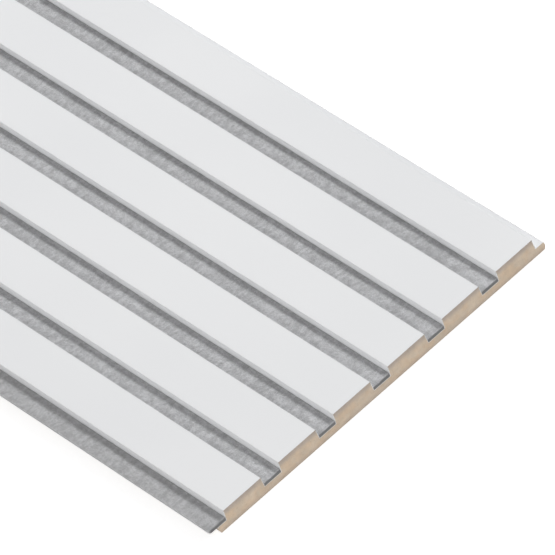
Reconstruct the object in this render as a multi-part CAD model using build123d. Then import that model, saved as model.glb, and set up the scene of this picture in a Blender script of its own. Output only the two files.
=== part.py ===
from build123d import *
import os

# Acoustic slat panel: one machined board with six white slats, and six strips
# of grey felt that lie in its grooves and on its edge lip.
# The panel lies on its back. X runs along it, Y across it, Z up out of its face,
# and the origin is under the middle of its box.

# Driving dimensions, in millimetres
panel_length = 2400.0
board_thickness = 12.0
slat_count = 6
slat_face = 27.2
groove_mouth = 12.8
groove_depth = 7.0
groove_draft = 0.4

# Long edges. A lip and the next panel's tongue butt together, and their joint is
# one more groove, so the panel covers a whole number of pitches
last_slat_trim = 0.6
tongue_reach = 6.55
lip_bevel_height = 3.2
lip_bevel_inset = 1.2
tongue_bevel_height = 2.0
tongue_bevel_inset = 0.8
cutter_overrun = 1.0

# Eased corners
slat_arris = 0.25
tongue_nose = 1.0

# Felt strips
felt_thickness = 2.3
felt_side_gap = 0.05
felt_corner = 2.2

# Values worked out from the dimensions above
pitch = slat_face + groove_mouth
lip_reach = groove_mouth + last_slat_trim - tongue_reach
slats_width = slat_count * pitch - groove_mouth - last_slat_trim
groove_floor_height = board_thickness - groove_depth
groove_floor_width = groove_mouth - 2 * groove_draft
felt_width = groove_floor_width - 2 * felt_side_gap
felt_reach = groove_mouth - groove_draft - felt_side_gap
overall_width = felt_reach + slats_width + tongue_reach
first_slat_y = felt_reach - overall_width / 2


def slat_left(number):
    """Y of the left arris of a slat, counted from 0 at the lip side."""
    return first_slat_y + number * pitch


def closed_face(corners):
    return make_face(Polyline(*corners, close=True))


def groove_cutter(left):
    """Tapered groove between two slats, open above the face."""
    right = left + groove_mouth
    return closed_face([
        (left, board_thickness),
        (left + groove_draft, groove_floor_height),
        (right - groove_draft, groove_floor_height),
        (right, board_thickness),
    ])


def edge_rebate(wall, reach):
    """Step outside an end slat, level with the groove floors, with reach as a signed width."""
    outward = 1 if reach > 0 else -1
    outside = wall + reach + outward * cutter_overrun
    return closed_face([
        (wall, board_thickness),
        (wall + outward * groove_draft, groove_floor_height),
        (outside, groove_floor_height),
        (outside, board_thickness),
    ])


def back_bevel(edge, height, inset):
    """Sliver off the foot of a butting edge, so two panels meet at their top corners."""
    return closed_face([
        (edge, height),
        (edge, 0),
        (edge + inset, 0),
    ])


def board_section():
    """Section across the panel: slats, grooves, the lip at the left, the tongue at the right."""
    first_wall = slat_left(0)
    last_wall = first_wall + slats_width
    lip_edge = first_wall - lip_reach
    tongue_edge = last_wall + tongue_reach
    middle = (lip_edge + tongue_edge) / 2
    section = Pos(middle, board_thickness / 2) * Rectangle(tongue_edge - lip_edge, board_thickness)
    for number in range(slat_count - 1):
        section -= groove_cutter(slat_left(number) + slat_face)
    section -= edge_rebate(first_wall, -lip_reach)
    section -= edge_rebate(last_wall, tongue_reach)
    section -= back_bevel(lip_edge, lip_bevel_height, lip_bevel_inset)
    section -= back_bevel(tongue_edge, tongue_bevel_height, -tongue_bevel_inset)
    arrises = section.vertices().group_by(Axis.Y)[-1]
    section = fillet(arrises, slat_arris)
    nose = section.vertices().group_by(Axis.X)[-1].sort_by(Axis.Y)[-1]
    return fillet(nose, tongue_nose)


def along_panel(section):
    """Section drawn across the panel, drawn out to its full length."""
    return extrude(Plane.YZ * section, amount=panel_length / 2, both=True)


def make_board():
    return along_panel(board_section())


def make_groove_felt(number):
    """Strip on the floor of the groove to the left of a slat, or on the lip for slat 0."""
    right = slat_left(number) - groove_draft - felt_side_gap
    middle_y = right - felt_width / 2
    middle_z = groove_floor_height + felt_thickness / 2
    return along_panel(Pos(middle_y, middle_z) * Rectangle(felt_width, felt_thickness))


def make_edge_felt():
    """Overhanging strip, with its two free corners worn round."""
    strip = make_groove_felt(0)
    upright = strip.edges().filter_by(Axis.Z)
    free_corners = upright.group_by(Axis.Y)[0]
    return fillet(free_corners, felt_corner)


def save(part, node):
    export_step(part, f"parts/{node}.step")
    box = part.bounding_box()
    print(node, "solids", len(part.solids()), "box", box.min, box.max)


os.makedirs("parts", exist_ok=True)
save(make_board(), "slatted_board")
save(make_edge_felt(), "felt_strip_edge")
for number in range(1, slat_count):
    save(make_groove_felt(number), f"felt_strip_{number}")
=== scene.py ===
import bpy
import math
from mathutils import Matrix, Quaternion, Vector


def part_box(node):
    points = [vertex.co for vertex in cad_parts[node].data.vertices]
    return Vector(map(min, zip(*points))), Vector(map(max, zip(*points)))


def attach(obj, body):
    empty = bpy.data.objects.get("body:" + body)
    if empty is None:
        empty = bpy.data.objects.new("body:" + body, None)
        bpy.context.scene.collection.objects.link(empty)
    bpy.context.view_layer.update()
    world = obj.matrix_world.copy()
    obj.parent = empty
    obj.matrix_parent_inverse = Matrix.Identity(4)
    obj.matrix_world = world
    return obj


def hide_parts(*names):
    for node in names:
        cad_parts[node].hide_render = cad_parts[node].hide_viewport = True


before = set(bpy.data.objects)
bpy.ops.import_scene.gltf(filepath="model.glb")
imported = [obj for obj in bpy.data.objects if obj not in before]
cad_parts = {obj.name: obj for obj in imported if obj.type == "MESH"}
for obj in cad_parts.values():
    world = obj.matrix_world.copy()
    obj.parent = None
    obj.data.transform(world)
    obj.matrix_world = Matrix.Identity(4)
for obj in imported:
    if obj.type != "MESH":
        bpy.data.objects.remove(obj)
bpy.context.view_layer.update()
print("frame loaded, nodes:", sorted(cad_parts))


# Camera

cameraView = {
    "aim": (1.09882, 0.019205, 0.01225),  # point in the middle of the picture
    "azimuth": 64.53,  # degrees, 0 looks along +Y
    "elevation": 43.23,
    "roll": -22.95,
    "distance": 5.526,
    "lens": 674.7,  # long lens, so the slats stay nearly parallel
    "sensor": 36.0,
    "clipEnd": 200.0,
}


def makeCamera(view):
    azimuth = math.radians(view["azimuth"])
    elevation = math.radians(view["elevation"])
    level = math.cos(elevation)
    back = Vector((math.sin(azimuth) * level, -math.cos(azimuth) * level, math.sin(elevation)))
    bpy.ops.object.camera_add(location=Vector(view["aim"]) + back * view["distance"])
    camera = bpy.context.object
    camera.name = "camera"
    camera.rotation_mode = "QUATERNION"
    upright = (-back).to_track_quat("-Z", "Y")
    camera.rotation_quaternion = upright @ Quaternion((0, 0, 1), math.radians(view["roll"]))
    camera.data.sensor_width = view["sensor"]
    camera.data.lens = view["lens"]
    camera.data.clip_end = view["clipEnd"]
    camera.data.dof.use_dof = False
    bpy.context.scene.camera = camera
    print("camera placed")


makeCamera(cameraView)
bpy.context.scene.view_settings.view_transform = "Standard"


# Helpers for node trees

def addNode(tree, kind, inputs=None, **settings):
    # an input that is another node's output is linked, and any other is set
    made = tree.nodes.new("ShaderNode" + kind)
    for name, value in settings.items():
        setattr(made, name, value)
    for socket, value in (inputs or {}).items():
        if isinstance(value, bpy.types.NodeSocket):
            tree.links.new(value, made.inputs[socket])
        else:
            made.inputs[socket].default_value = value
    return made


def maths(tree, operation, first, second=0.0, *others):
    # with more than two values, the operation goes on with its result
    result = addNode(tree, "Math", {0: first, 1: second}, operation=operation).outputs[0]
    return maths(tree, operation, result, *others) if others else result


def axes(tree, vector):
    return addNode(tree, "SeparateXYZ", {0: vector}).outputs


def ramp(tree, value, low, high, start=0.0, end=1.0):
    inputs = {0: value, 1: low, 2: high, 3: start, 4: end}
    return addNode(tree, "MapRange", inputs, interpolation_type="SMOOTHSTEP").outputs[0]


def mixColour(tree, factor, first, second, blend="MIX"):
    inputs = {0: factor, 6: first, 7: second}
    return addNode(tree, "Mix", inputs, data_type="RGBA", blend_type=blend).outputs[2]


def mixValue(tree, factor, first, second):
    return addNode(tree, "Mix", {0: factor, 2: first, 3: second}, data_type="FLOAT").outputs[0]


def toneColour(tree, colour, tone):
    # the colour made darker or lighter by a tone that varies
    grey = addNode(tree, "CombineColor", {0: tone, 1: tone, 2: tone}).outputs[0]
    return mixColour(tree, 1.0, colour, grey, "MULTIPLY")


def noise(tree, where, size, detail=2.0, roughness=0.5):
    inputs = {"Vector": where, "Scale": 1 / size, "Detail": detail, "Roughness": roughness}
    return addNode(tree, "TexNoise", inputs).outputs["Fac"]


def drawnOutNoise(tree, where, size, angle=0.0, shift=0.0, detail=2.0):
    # noise of another size along each axis, turned about Z
    turned = addNode(tree, "Mapping", {
        "Vector": where,
        "Location": (shift, shift, shift),
        "Rotation": (0, 0, math.radians(angle)),
        "Scale": size,
    }, vector_type="TEXTURE").outputs[0]
    return noise(tree, turned, 1.0, detail)


def newMaterial(name):
    material = bpy.data.materials.new(name)
    material.use_nodes = True
    material.node_tree.nodes.clear()
    return material, material.node_tree


# Studio

studio = {
    "fill": 0.25,  # even light from all round
    "backdrop": 1.0,  # white, where the camera sees past the floor
    "key": {  # a long strip over the far side
        "place": (0.0, 0.913, 1.062),
        "aim": (0.0, 0.0, 0.0),
        "length": 4.5,
        "width": 0.36,
        "power": 10.5,
        "colour": (1.0, 1.0, 1.0),
    },
    "end": {  # on the near cut end
        "place": (4.4, -1.0, 0.50),
        "aim": (1.1, 0.0, 0.0),
        "length": 0.8,
        "width": 0.8,
        "power": 43.0,
        "colour": (1.0, 1.0, 1.0),
    },
    "side": {  # on the groove walls that look towards the lip, a little warm
        "place": (0.6, -3.2, 1.27),
        "aim": (0.6, 0.0, 0.0),
        "length": 3.0,
        "width": 0.3,
        "power": 31.3,
        "colour": (1.0, 0.982, 0.957),
    },
    "floorTone": 0.8,
    "floorGlow": 0.685,  # what the camera adds, so the floor is white
    "farGlow": 0.82,  # the same beyond the lamps' reach
    "farRange": (0.8, 1.6),  # metres from the middle, where the near glow ends and the far one is reached
    "farSquash": (0.5, 1.0, 1.0),  # the panel is long, so the near floor is too
    "floorHalf": 300.0,
    "floorDrop": 0.0003,  # the floor stays clear of the board's back
}


def seenDirectly(tree):
    # 1 for what the camera sees, and for what gloss and glass show of it
    path = addNode(tree, "LightPath").outputs
    return maths(tree, "MAXIMUM", path["Is Camera Ray"], path["Is Glossy Ray"],
                 path["Is Transmission Ray"])


def makeWorld(settings):
    world = bpy.data.worlds.new("studioFill")
    world.use_nodes = True
    tree = world.node_tree
    tree.nodes.clear()
    strength = mixValue(tree, seenDirectly(tree), settings["fill"], settings["backdrop"])
    background = addNode(tree, "Background", {"Color": (1, 1, 1, 1), "Strength": strength})
    addNode(tree, "OutputWorld", {"Surface": background.outputs[0]})
    bpy.context.scene.world = world


def makeSoftbox(name, lamp):
    bpy.ops.object.light_add(type="AREA", location=lamp["place"])
    softbox = bpy.context.object
    softbox.name = name
    direction = Vector(lamp["aim"]) - Vector(lamp["place"])
    softbox.rotation_mode = "QUATERNION"
    softbox.rotation_quaternion = direction.to_track_quat("-Z", "Y")
    softbox.data.shape = "RECTANGLE"
    softbox.data.size = lamp["length"]
    softbox.data.size_y = lamp["width"]
    softbox.data.energy = lamp["power"]
    softbox.data.color = lamp["colour"]
    softbox.visible_camera = False
    return softbox


def lightEvenly(softbox):
    # as bright on the far slats as on the near ones
    softbox.data.use_nodes = True
    tree = softbox.data.node_tree
    tree.nodes.clear()
    falloff = addNode(tree, "LightFalloff", {"Strength": 1.0})
    glow = addNode(tree, "Emission", {"Strength": falloff.outputs["Constant"]})
    addNode(tree, "OutputLight", {"Surface": glow.outputs[0]})


def makeFloorMaterial(settings):
    material, tree = newMaterial("paleFloor")
    tone = settings["floorTone"]
    matt = addNode(tree, "BsdfDiffuse", {"Color": (tone, tone, tone, 1)})
    where = addNode(tree, "TexCoord").outputs["Object"]
    squashed = addNode(tree, "Mapping", {"Vector": where, "Scale": settings["farSquash"]})
    distance = addNode(tree, "VectorMath", {0: squashed.outputs[0]}, operation="LENGTH")
    added = ramp(tree, distance.outputs["Value"], *settings["farRange"],
                 settings["floorGlow"], settings["farGlow"])
    strength = maths(tree, "MULTIPLY", seenDirectly(tree), added)
    glow = addNode(tree, "Emission", {"Strength": strength})
    both = addNode(tree, "AddShader", {0: matt.outputs[0], 1: glow.outputs[0]})
    addNode(tree, "OutputMaterial", {"Surface": both.outputs[0]})
    return material


def makeFloor(settings):
    bpy.ops.object.select_all(action="DESELECT")
    bpy.ops.mesh.primitive_plane_add(
        size=2 * settings["floorHalf"],
        location=(0, 0, -settings["floorDrop"]),
    )
    floor = bpy.context.object
    floor.name = "floor"
    floor.data.materials.append(makeFloorMaterial(settings))


def lightStudio(settings):
    makeWorld(settings)
    lightEvenly(makeSoftbox("keyStrip", settings["key"]))
    makeSoftbox("endLight", settings["end"])
    makeSoftbox("sideLight", settings["side"])
    makeFloor(settings)
    print("studio lit")


lightStudio(studio)


# Board: white lacquer over fibreboard, bare on its cut ends, its outer edges and its back

board = {
    "lacquer": (0.835, 0.843, 0.855, 1),
    "lacquerShade": (0.815, 0.824, 0.838, 1),
    "lacquerRough": 0.46,
    "lacquerRoughSpread": 0.08,
    "mistSize": 0.16,  # slow drift of the sprayed coat
    "mistRange": (0.35, 0.65),
    "peelSize": 0.0016,  # orange peel
    "peelHeight": 0.000012,
    "upFrom": 0.25,  # how far up a face must look to be coated
    "sideFrom": 0.5,  # how far sideways a face must look to be a groove's wall
    "edgeMargin": 0.00025,  # coated walls lie further in from the lip's edge than this
    "floorMargin": 0.0001,  # walls are coated from this far under the groove floors
    "endFrom": 0.7,  # how far along the slats a face must look to be a cut end
    "rim": 0.0008,  # coat seen edge on, round the grooves' cut ends
    "rimRange": (0.90, 0.94),  # X of the rounded normal: all rim under the first, none over the second
    "rimDown": -0.15,  # no rim where that normal leans further down, as at the back
    "rimDrop": 0.0007,  # and none this near the slats' faces
    "arris": 0.00035,  # hard edges catch the light this wide
    "bare": (0.606, 0.505, 0.398, 1),
    "bareWarm": (0.618, 0.488, 0.362, 1),
    "bareDense": (0.402, 0.345, 0.304, 1),  # pressed skins near both faces
    "bareDark": (0.385, 0.290, 0.198, 1),
    "bareLight": (0.70, 0.60, 0.48, 1),
    "bareRough": 0.86,
    "bareHeight": 0.00008,
    "skinDepth": 0.0050,
    "backSkinDepth": 0.0035,
    "backSkin": 0.5,  # how much the back's skin shows beside the face's
    "warmSize": 0.0063,
    "warmRange": (0.40, 0.60),
    "clumpSize": 0.0045,
    "clumpTone": 0.82,
    "clumpSpread": 0.36,
    "fibreSize": 0.0009,
    "fibreRange": (0.50, 0.72),
    "fibreAmount": 0.30,
    "flakeSize": (0.0014, 0.0014, 0.00022),  # pressed flat, so a cut shows them as short dashes
    "darkFlakes": (0.38, 0.30),
    "lightFlakes": (0.62, 0.72),
    "flakeAmount": 0.5,
}


def lacquerMask(tree, where, facing):
    # 1 on the slats, the groove walls and floors, the lip and the tongue
    innerHalf = abs(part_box("slatted_board")[0].y) - board["edgeMargin"]
    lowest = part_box("felt_strip_1")[0].z - board["floorMargin"]
    place = axes(tree, where)
    normal = axes(tree, facing)
    faceUp = maths(tree, "GREATER_THAN", normal["Z"], board["upFrom"])
    sideways = maths(tree, "GREATER_THAN", maths(tree, "ABSOLUTE", normal["Y"]), board["sideFrom"])
    inner = maths(tree, "LESS_THAN", maths(tree, "ABSOLUTE", place["Y"]), innerHalf)
    above = maths(tree, "GREATER_THAN", place["Z"], lowest)
    wall = maths(tree, "MULTIPLY", sideways, inner, above)
    return maths(tree, "MAXIMUM", faceUp, wall)


def coatRim(tree, where, facing):
    # 1 on a cut end where it meets a groove's wall or floor
    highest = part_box("slatted_board")[1].z - board["rimDrop"]
    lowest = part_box("felt_strip_1")[0].z - board["rim"]
    rounded = addNode(tree, "Bevel", {"Radius": board["rim"]}, samples=8).outputs[0]
    leans = axes(tree, rounded)
    height = axes(tree, where)["Z"]
    along = maths(tree, "ABSOLUTE", axes(tree, facing)["X"])
    onEnd = maths(tree, "GREATER_THAN", along, board["endFrom"])
    nearEdge = ramp(tree, maths(tree, "ABSOLUTE", leans["X"]), *board["rimRange"], 1.0, 0.0)
    notDown = maths(tree, "GREATER_THAN", leans["Z"], board["rimDown"])
    notAbove = maths(tree, "LESS_THAN", height, highest)
    notBelow = maths(tree, "GREATER_THAN", height, lowest)
    return maths(tree, "MULTIPLY", onEnd, nearEdge, notDown, notAbove, notBelow)


def bareFibreboard(tree, where):
    # denser and greyer towards both faces
    low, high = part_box("slatted_board")
    height = axes(tree, where)["Z"]
    faceSkin = ramp(tree, height, high.z - board["skinDepth"], high.z)
    backSkin = ramp(tree, height, low.z, low.z + board["backSkinDepth"], board["backSkin"], 0.0)
    skins = maths(tree, "MAXIMUM", faceSkin, backSkin)
    warm = ramp(tree, noise(tree, where, board["warmSize"]), *board["warmRange"])
    fibres = noise(tree, where, board["fibreSize"], detail=4.0, roughness=0.65)
    darkFibres = maths(tree, "MULTIPLY", ramp(tree, fibres, *board["fibreRange"]), board["fibreAmount"])
    flakes = drawnOutNoise(tree, where, board["flakeSize"], detail=3.0)
    darkFlakes = ramp(tree, flakes, *board["darkFlakes"], 0.0, board["flakeAmount"])
    lightFlakes = ramp(tree, flakes, *board["lightFlakes"], 0.0, board["flakeAmount"])
    clumps = noise(tree, where, board["clumpSize"], detail=3.0)
    tone = maths(tree, "ADD", board["clumpTone"], maths(tree, "MULTIPLY", clumps, board["clumpSpread"]))
    colour = mixColour(tree, warm, board["bare"], board["bareWarm"])
    colour = mixColour(tree, skins, colour, board["bareDense"])
    colour = mixColour(tree, darkFibres, colour, board["bareDark"])
    colour = mixColour(tree, darkFlakes, colour, board["bareDark"])
    colour = mixColour(tree, lightFlakes, colour, board["bareLight"])
    return toneColour(tree, colour, tone), maths(tree, "ADD", fibres, flakes)


def makeBoardMaterial():
    material, tree = newMaterial("lacqueredFibreboard")
    coordinates = addNode(tree, "TexCoord").outputs
    where = coordinates["Object"]
    facing = coordinates["Normal"]
    lacquered = maths(tree, "MAXIMUM", lacquerMask(tree, where, facing), coatRim(tree, where, facing))
    mist = noise(tree, where, board["mistSize"])
    peel = noise(tree, where, board["peelSize"], detail=1.0)
    drift = ramp(tree, mist, *board["mistRange"])
    lacquer = mixColour(tree, drift, board["lacquer"], board["lacquerShade"])
    lacquerRough = maths(tree, "ADD", board["lacquerRough"],
                         maths(tree, "MULTIPLY", mist, board["lacquerRoughSpread"]))
    lacquerRelief = maths(tree, "MULTIPLY", peel, board["peelHeight"])
    bare, fibreRelief = bareFibreboard(tree, where)
    bareRelief = maths(tree, "MULTIPLY", fibreRelief, board["bareHeight"])
    height = mixValue(tree, lacquered, bareRelief, lacquerRelief)
    eased = addNode(tree, "Bevel", {"Radius": board["arris"]}, samples=4).outputs[0]
    bump = addNode(tree, "Bump", {"Height": height, "Distance": 1.0, "Normal": eased}).outputs[0]
    surface = addNode(tree, "BsdfPrincipled", {
        "Base Color": mixColour(tree, lacquered, bare, lacquer),
        "Roughness": mixValue(tree, lacquered, board["bareRough"], lacquerRough),
        "Normal": bump,
    })
    addNode(tree, "OutputMaterial", {"Surface": surface.outputs[0]})
    return material


def dressNode(node, material):
    for slot in node.material_slots:
        slot.material = material


dressNode(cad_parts["slatted_board"], makeBoardMaterial())
print("board finished")


# Felt: pressed grey fibre strips, glued in the grooves and on the lip

felt = {
    "cuts": ((21, 99), (10,), (1,)),  # along X, Y and Z, in goes of at most 100 cuts
    "edgeRound": 0.00015,
    "edgeSteps": 2,
    "edgeAngle": 60,  # degrees, sharper edges are rounded
    "smoothAngle": 50,
    "cornerRound": 0.0015,
    "cornerSteps": 4,
    "endRound": 0.00085,  # the knife leaves the ends' top edges soft
    "endSteps": 4,
    "ridgeSize": (0.0050, 0.0034, 0.0034),  # low ridges lie across the strips
    "ridgeAngle": 66,
    "ridgeHeight": 0.0007,
    "ridgesAbove": 0.6,  # share of the thickness, under which the strip stays flat
    "waveSize": (0.03, 0.03, 0.03),  # slow waver of the overhanging edge
    "waveHeight": 0.00018,
    "grey": (0.748, 0.754, 0.772, 1),
    "greyDark": (0.505, 0.509, 0.522, 1),
    "fibreLight": (0.82, 0.817, 0.83, 1),
    "fibreDark": (0.37, 0.368, 0.376, 1),
    "cutEnd": (0.195, 0.195, 0.198, 1),
    "rough": 0.95,
    "specular": 0.2,
    "sheen": 0.15,
    "sheenRough": 0.6,
    "mottleSize": 0.0030,
    "mottleShare": 0.38,
    "patchSize": 0.016,
    "patchShare": 0.19,
    "streakSize": (0.0044, 0.0021, 0.0021),  # streaks lie across the strips too
    "streakAngle": 80,
    "streakShare": 0.43,
    "cloudRange": (0.40, 0.60),  # from the dark grey to the light one
    "fibreSize": (0.0034, 0.00017, 0.00017),
    "fibreAngles": (64, 92, 38, -12, 118, 15),
    "fibreShift": 0.3,  # from one lot's pattern to the next, so that no two are alike
    "fibreRange": (0.56, 0.70),
    "fibreAmount": 0.48,
    "fibreStand": 0.3,  # beside the mottle's relief
    "curlSize": 0.0021,
    "curlReach": 0.0009,
    "reliefHeight": 0.00016,
    "turnedRange": (0.65, 0.95),  # how far a face looks along an axis to count as turned that way
}

# Each strip is darker near its long sides: painted shade, standing in for the shade where the felt meets
# the groove walls. A side's three numbers are how far in from it the painted shade is full, how far in it
# has gone, and how much it darkens. The upright sides take a painted tone of their own instead.
grooveFelt = {
    "tone": 1.035,
    "tongueSidePaintedShade": (0.0006, 0.0022, 0.12),
    "lipSidePaintedShade": (0.0015, 0.0059, 0.17),
    "uprightPaintedLight": 1.0,
}

lipFelt = {
    # painted shade: the same felt made darker here, as this strip gets more of the side light than the
    # grooves' felt
    "tone": 0.85,
    "tongueSidePaintedShade": (0.0042, 0.0060, 0.075),
    "lipSidePaintedShade": (0.0030, 0.0055, 0.035),
    "uprightPaintedLight": 1.24,  # painted light: its outer side, in full light, is made lighter still
}


def shade(colour, tone):
    return tuple(channel * tone for channel in colour[:3]) + (1,)


def facesAlong(tree, facing, axis):
    # 1 on what faces along an axis, either way
    return ramp(tree, maths(tree, "ABSOLUTE", axes(tree, facing)[axis]), *felt["turnedRange"])


def curl(tree, where):
    # bends straight fibres a little
    bends = addNode(tree, "TexNoise", {"Vector": where, "Scale": 1 / felt["curlSize"], "Detail": 1.0})
    centred = addNode(tree, "VectorMath", {0: bends.outputs["Color"], 1: (0.5, 0.5, 0.5)},
                      operation="SUBTRACT")
    offset = addNode(tree, "VectorMath", {0: centred.outputs[0], "Scale": felt["curlReach"]},
                     operation="SCALE")
    return addNode(tree, "VectorMath", {0: where, 1: offset.outputs[0]}, operation="ADD").outputs[0]


def feltGround(tree, where, tone):
    # mottle, broad patches and streaks, as a grey and as relief
    mottle = noise(tree, where, felt["mottleSize"], detail=3.0, roughness=0.6)
    patches = noise(tree, where, felt["patchSize"])
    streaks = drawnOutNoise(tree, where, felt["streakSize"], felt["streakAngle"])
    cloud = maths(
        tree, "ADD",
        maths(tree, "MULTIPLY", mottle, felt["mottleShare"]),
        maths(tree, "MULTIPLY", patches, felt["patchShare"]),
        maths(tree, "MULTIPLY", streaks, felt["streakShare"]),
    )
    lightness = ramp(tree, cloud, *felt["cloudRange"])
    colour = mixColour(tree, lightness, shade(felt["greyDark"], tone), shade(felt["grey"], tone))
    return colour, maths(tree, "ADD", mottle, streaks)


def addFibres(tree, where, tone, colour, height):
    # light and dark fibres in turn, each lot lying its own way
    curled = curl(tree, where)
    for number, angle in enumerate(felt["fibreAngles"]):
        fibreColour = felt["fibreLight"] if number % 2 == 0 else felt["fibreDark"]
        shift = felt["fibreShift"] * number
        drawn = drawnOutNoise(tree, curled, felt["fibreSize"], angle, shift, detail=0.0)
        fibres = ramp(tree, drawn, *felt["fibreRange"])
        amount = maths(tree, "MULTIPLY", fibres, felt["fibreAmount"])
        colour = mixColour(tree, amount, colour, shade(fibreColour, tone))
        height = maths(tree, "ADD", height, maths(tree, "MULTIPLY", fibres, felt["fibreStand"]))
    return colour, height


def paintedSideShade(tree, where, facing, settings):
    # painted shade: 1 along the middle of every strip, less towards its two long sides; the upright sides
    # get their own painted tone
    low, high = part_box("felt_strip_1")
    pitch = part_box("felt_strip_2")[0].y - low.y
    half = (high.y - low.y) / 2
    fromFirst = maths(tree, "SUBTRACT", axes(tree, where)["Y"], (low.y + high.y) / 2)
    wrapped = addNode(tree, "Math", {0: fromFirst, 1: pitch / 2, 2: -pitch / 2}, operation="WRAP")
    sides = ((1, settings["tongueSidePaintedShade"]), (-1, settings["lipSidePaintedShade"]))
    tone = 1.0
    for outward, (inner, outer, amount) in sides:
        fromMiddle = maths(tree, "MULTIPLY", wrapped.outputs[0], outward)
        shaded = ramp(tree, fromMiddle, half - outer, half - inner, 1.0, 1.0 - amount)
        tone = maths(tree, "MULTIPLY", tone, shaded)
    return mixValue(tree, facesAlong(tree, facing, "Y"), tone, settings["uprightPaintedLight"])


def makeFeltMaterial(name, settings):
    material, tree = newMaterial(name)
    coordinates = addNode(tree, "TexCoord").outputs
    where = coordinates["Object"]
    facing = coordinates["Normal"]
    ground, groundRelief = feltGround(tree, where, settings["tone"])
    colour, height = addFibres(tree, where, settings["tone"], ground, groundRelief)
    # painted shade near each strip's long sides, and painted light on the lip strip's outer side
    colour = toneColour(tree, colour, paintedSideShade(tree, where, facing, settings))
    colour = mixColour(tree, facesAlong(tree, facing, "X"), colour, felt["cutEnd"])
    relief = addNode(tree, "Bump", {"Height": height, "Distance": felt["reliefHeight"]})
    surface = addNode(tree, "BsdfPrincipled", {
        "Base Color": colour,
        "Roughness": felt["rough"],
        "Specular IOR Level": felt["specular"],
        "Sheen Weight": felt["sheen"],
        "Sheen Roughness": felt["sheenRough"],
        "Normal": relief.outputs[0],
    })
    addNode(tree, "OutputMaterial", {"Surface": surface.outputs[0]})
    return material


nearly = 0.00002  # places closer than this count as one


def selectEdges(strip, wanted):
    # leaves only the edges whose two ends are wanted selected, in edit mode
    bpy.ops.mesh.select_all(action="DESELECT")
    bpy.ops.mesh.select_mode(type="EDGE")
    bpy.ops.object.mode_set(mode="OBJECT")
    points = strip.data.vertices
    for edge in strip.data.edges:
        edge.select = wanted(points[edge.vertices[0]].co, points[edge.vertices[1]].co)
    bpy.ops.object.mode_set(mode="EDIT")


def addBlock(name, low, high):
    bpy.ops.object.select_all(action="DESELECT")
    bpy.ops.mesh.primitive_cube_add(size=1, location=(low + high) / 2, scale=high - low)
    block = bpy.context.object
    block.name = name
    bpy.ops.object.transform_apply(location=True, rotation=True, scale=True)
    return block


def cutStrip(strip):
    for axis, goes in enumerate(felt["cuts"]):
        for cuts in goes:
            selectEdges(strip, lambda one, other: abs((one - other)[axis]) > nearly)
            bpy.ops.mesh.subdivide(number_cuts=cuts, quadcorner="STRAIGHT_CUT")


def clearUnderside(strip, low, high):
    # the glued side stays plain, with no cuts along the strip
    def isInside(place):
        return place.z < low.z + nearly and low.y + nearly < place.y < high.y - nearly

    def isCut(one, other):
        return isInside(one) and isInside(other) and abs(one.y - other.y) < nearly

    selectEdges(strip, isCut)
    bpy.ops.mesh.dissolve_edges()


def roundFreeCorners(low, high):
    # slices both corners of the overhanging edge off along a quarter circle
    radius = felt["cornerRound"]
    for end, middleX in ((1, high.x - radius), (-1, low.x + radius)):
        for step in range(felt["cornerSteps"]):
            angle = math.radians(90 * (step + 0.5) / felt["cornerSteps"])
            outward = Vector((end * math.cos(angle), -math.sin(angle), 0))
            touch = Vector((middleX, low.y + radius, 0)) + outward * radius
            bpy.ops.mesh.select_all(action="SELECT")
            bpy.ops.mesh.bisect(plane_co=touch, plane_no=outward, use_fill=True, clear_outer=True)


def roundEnds(strip, low, high, overhangs):
    # bevels the top edge of both ends, round the free corners too
    radius = felt["cornerRound"] if overhangs else 0.0

    def onOutline(place):
        beyond = abs(place.x) - (high.x - radius)
        inCorner = overhangs and beyond > -nearly and place.y < low.y + radius
        reached = math.hypot(beyond, low.y + radius - place.y) if inCorner else beyond
        return place.z > high.z - nearly and reached > radius - nearly

    selectEdges(strip, lambda one, other: onOutline(one) and onOutline(other))
    bpy.ops.mesh.bevel(offset=felt["endRound"], segments=felt["endSteps"])


def softenEdges(strip):
    soften = strip.modifiers.new("softEdges", "BEVEL")
    soften.width = felt["edgeRound"]
    soften.segments = felt["edgeSteps"]
    soften.limit_method = "ANGLE"
    soften.angle_limit = math.radians(felt["edgeAngle"])
    bpy.ops.object.modifier_apply(modifier=soften.name)


def addGroup(strip, name, belongs):
    group = strip.vertex_groups.new(name=name)
    group.add([point.index for point in strip.data.vertices if belongs(point.co)], 1.0, "ADD")


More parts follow.
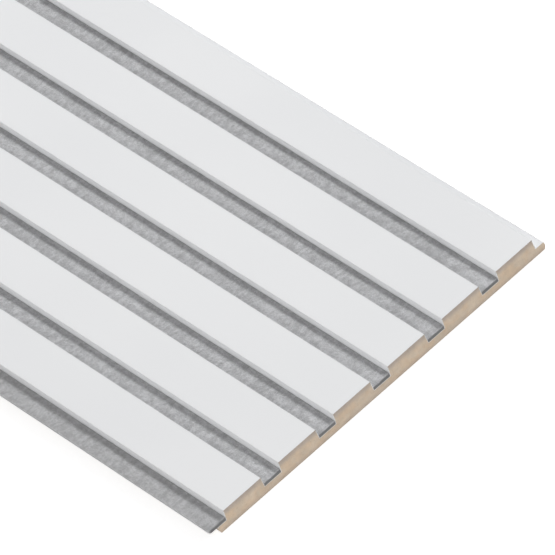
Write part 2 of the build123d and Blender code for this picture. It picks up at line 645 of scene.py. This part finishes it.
def addRelief(strip, name, size, angle, height, direction, group):
    # clouds drawn out and turned by an empty, which goes once they are applied
    bpy.ops.object.empty_add(rotation=(0, 0, math.radians(angle)))
    guide = bpy.context.object
    guide.scale = size
    texture = bpy.data.textures.new(name, "CLOUDS")
    texture.noise_scale = 1.0
    texture.noise_depth = 2
    relief = strip.modifiers.new(name, "DISPLACE")
    relief.texture = texture
    relief.texture_coords = "OBJECT"
    relief.texture_coords_object = guide
    relief.direction = direction
    relief.mid_level = 0.5
    relief.strength = height
    relief.vertex_group = group
    bpy.context.view_layer.objects.active = strip
    bpy.ops.object.modifier_apply(modifier=relief.name)
    bpy.data.objects.remove(guide)


def makeFeltStrip(node, overhangs, material):
    low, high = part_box(node)
    middle = (low + high) / 2
    flatBelow = low.z + felt["ridgesAbove"] * (high.z - low.z)
    strip = addBlock(node.replace("strip", "piece"), low, high)
    bpy.ops.object.mode_set(mode="EDIT")
    cutStrip(strip)
    clearUnderside(strip, low, high)
    if overhangs:
        roundFreeCorners(low, high)
    roundEnds(strip, low, high, overhangs)
    bpy.ops.object.mode_set(mode="OBJECT")
    softenEdges(strip)
    addGroup(strip, "topSide", lambda place: place.z > flatBelow)
    addRelief(strip, "feltRidges", felt["ridgeSize"], felt["ridgeAngle"], felt["ridgeHeight"],
              "Z", "topSide")
    if overhangs:
        addGroup(strip, "freeSide", lambda place: place.y < middle.y)
        addRelief(strip, "feltWaver", felt["waveSize"], 0, felt["waveHeight"], "Y", "freeSide")
    bpy.ops.object.shade_smooth_by_angle(angle=math.radians(felt["smoothAngle"]))
    strip.data.materials.append(material)
    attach(strip, "root")
    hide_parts(node)
    return strip


grooveFeltMaterial = makeFeltMaterial("greyFelt", grooveFelt)
lipFeltMaterial = makeFeltMaterial("greyFeltEdge", lipFelt)
for node in sorted(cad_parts):
    if node.startswith("felt_strip"):
        overhangs = node == "felt_strip_edge"
        material = lipFeltMaterial if overhangs else grooveFeltMaterial
        strip = makeFeltStrip(node, overhangs, material)
        print(strip.name, "made,", len(strip.data.polygons), "faces")
